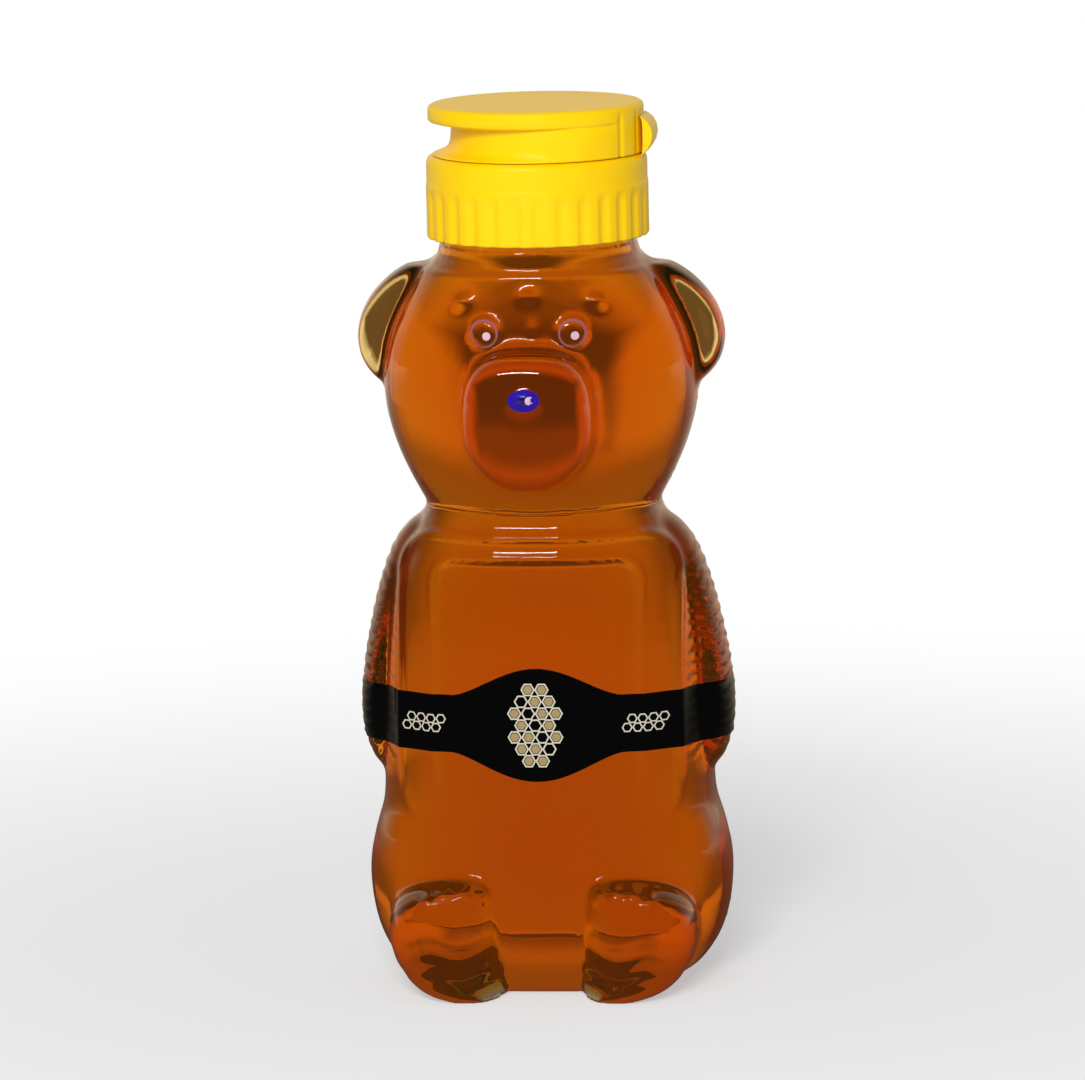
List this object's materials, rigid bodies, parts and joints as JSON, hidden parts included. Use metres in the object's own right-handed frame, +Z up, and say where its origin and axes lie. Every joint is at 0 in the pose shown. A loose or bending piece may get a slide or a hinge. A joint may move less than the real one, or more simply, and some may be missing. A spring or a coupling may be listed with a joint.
{
  "type": "honey bear bottle",
  "caption": "Bear-shaped clear squeeze bottle of honey with a belt label and a flip-top screw cap that opens and unscrews.",
  "frame": {"origin": "centre of the base, on the axis of the neck and cap, on the surface that the bottle stands on", "axes": "+Z up along the neck's axis; the bear faces -Y; the lid's hinge is at +X"},
  "size_m": [0.0698, 0.0574, 0.164],
  "materials": {
    "bottle": "clear blown PET, glossy",
    "honey": "clear amber liquid",
    "label_belt": "glossy black printed film",
    "gasket": "fine-celled white foam",
    "cap": "moulded yellow polypropylene, satin to gloss"
  },
  "bodies": {
    "bottle": {"bottle": "bottle", "honey": "honey", "label_belt": "label_belt"},
    "gasket": {"gasket": "gasket"},
    "cap": {"cap_base": "cap"},
    "lid": {"lid": "cap", "hinge_strap": "cap"}
  },
  "joints": [
    {"name": "cap_lift", "type": "slide", "parent": "bottle", "child": "gasket", "axis": [0, 0, 1], "range_m": [0, 0.0057]},
    {"name": "cap_turn", "type": "hinge", "parent": "gasket", "child": "cap", "pos_m": [0, 0, 0.1468], "axis": [0, 0, 1], "range_deg": [0, 480]},
    {"name": "lid_hinge", "type": "hinge", "parent": "cap", "child": "lid", "pos_m": [0.0206, 0, 0.155], "axis": [0, 1, 0], "range_deg": [0, 150], "deforming": ["hinge_strap"]}
  ],
  "couplings": [
    {"joint": "cap_lift", "follows": "cap_turn", "m_per_rad": 0.00067376}
  ]
}
